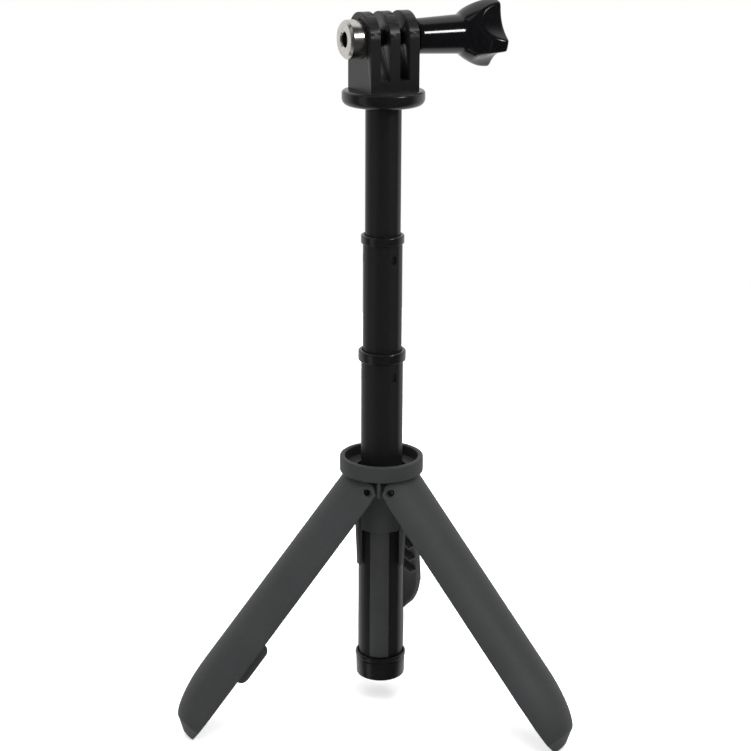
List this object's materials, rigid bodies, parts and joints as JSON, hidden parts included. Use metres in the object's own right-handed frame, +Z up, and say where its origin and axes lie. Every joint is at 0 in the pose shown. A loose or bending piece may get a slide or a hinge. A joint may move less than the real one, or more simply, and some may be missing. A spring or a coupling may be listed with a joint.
{
  "type": "telescoping mini tripod pole with camera mount",
  "caption": "Pocket camera pole: three shell legs fold out of a grip, nested black tubes telescope up to a finger mount with a lobed thumb screw.",
  "frame": {"origin": "centre of the column end cap's flat underside, on the pole axis", "axes": "+Z up the pole towards the camera mount; +X along the clamp bolt towards its knob, opposite the leg that points along -X"},
  "size_m": [0.1052, 0.1184, 0.2145],
  "materials": {
    "grip_plastic": "fine moulded texture, charcoal",
    "satin_plastic": "satin, black",
    "gloss_plastic": "polished, black",
    "tube_lacquer": "gloss black lacquer on drawn tube",
    "nylon": "semi-matt, black",
    "nickel_steel": "bright nickel plate, turned",
    "dark_steel": "blackened steel"
  },
  "bodies": {
    "base": {"hub_housing": "grip_plastic", "column_sleeve": "tube_lacquer", "end_cap": "satin_plastic", "hinge_pin_1": "dark_steel", "hinge_pin_2": "dark_steel", "hinge_pin_3": "dark_steel"},
    "leg_1": {"leg_1": "grip_plastic"},
    "leg_2": {"leg_2": "grip_plastic"},
    "leg_3": {"leg_3": "grip_plastic"},
    "lower_stage": {"lower_tube": "tube_lacquer", "lower_collar": "satin_plastic", "lower_glide": "nylon"},
    "middle_stage": {"middle_tube": "tube_lacquer", "middle_collar": "satin_plastic", "middle_glide": "nylon"},
    "upper_stage": {"upper_tube": "tube_lacquer", "upper_glide": "nylon", "tube_plug": "nylon", "fixing_screw": "dark_steel", "mount_disc": "satin_plastic", "mount_fingers": "satin_plastic", "clamp_nut": "nickel_steel"},
    "screw_carriage": {"thrust_washer": "satin_plastic"},
    "clamp_screw": {"clamp_knob": "gloss_plastic", "clamp_bolt": "dark_steel"}
  },
  "joints": [
    {"name": "leg_1_fold", "type": "hinge", "parent": "base", "child": "leg_1", "pos_m": [-0.0087, 0, 0.0639], "axis": [0, -1, 0], "range_deg": [0, 41.5]},
    {"name": "leg_2_fold", "type": "hinge", "parent": "base", "child": "leg_2", "pos_m": [0.00435, -0.00753, 0.0639], "axis": [0.866, 0.5, 0], "range_deg": [0, 41.5]},
    {"name": "leg_3_fold", "type": "hinge", "parent": "base", "child": "leg_3", "pos_m": [0.00435, 0.00753, 0.0639], "axis": [-0.866, 0.5, 0], "range_deg": [0, 41.5]},
    {"name": "lower_slide", "type": "slide", "parent": "base", "child": "lower_stage", "axis": [0, 0, 1], "range_m": [-0.0342, 0]},
    {"name": "middle_slide", "type": "slide", "parent": "lower_stage", "child": "middle_stage", "axis": [0, 0, 1], "range_m": [-0.032, 0]},
    {"name": "upper_slide", "type": "slide", "parent": "middle_stage", "child": "upper_stage", "axis": [0, 0, 1], "range_m": [-0.0373, 0]},
    {"name": "screw_advance", "type": "slide", "parent": "upper_stage", "child": "screw_carriage", "axis": [1, 0, 0], "range_m": [0, 0.0032]},
    {"name": "screw_turn", "type": "hinge", "parent": "screw_carriage", "child": "clamp_screw", "pos_m": [0, 0, 0.1968], "axis": [1, 0, 0], "range_deg": [0, 1440]}
  ],
  "couplings": [
    {"joint": "screw_turn", "follows": "screw_advance", "rad_per_m": 7854}
  ]
}
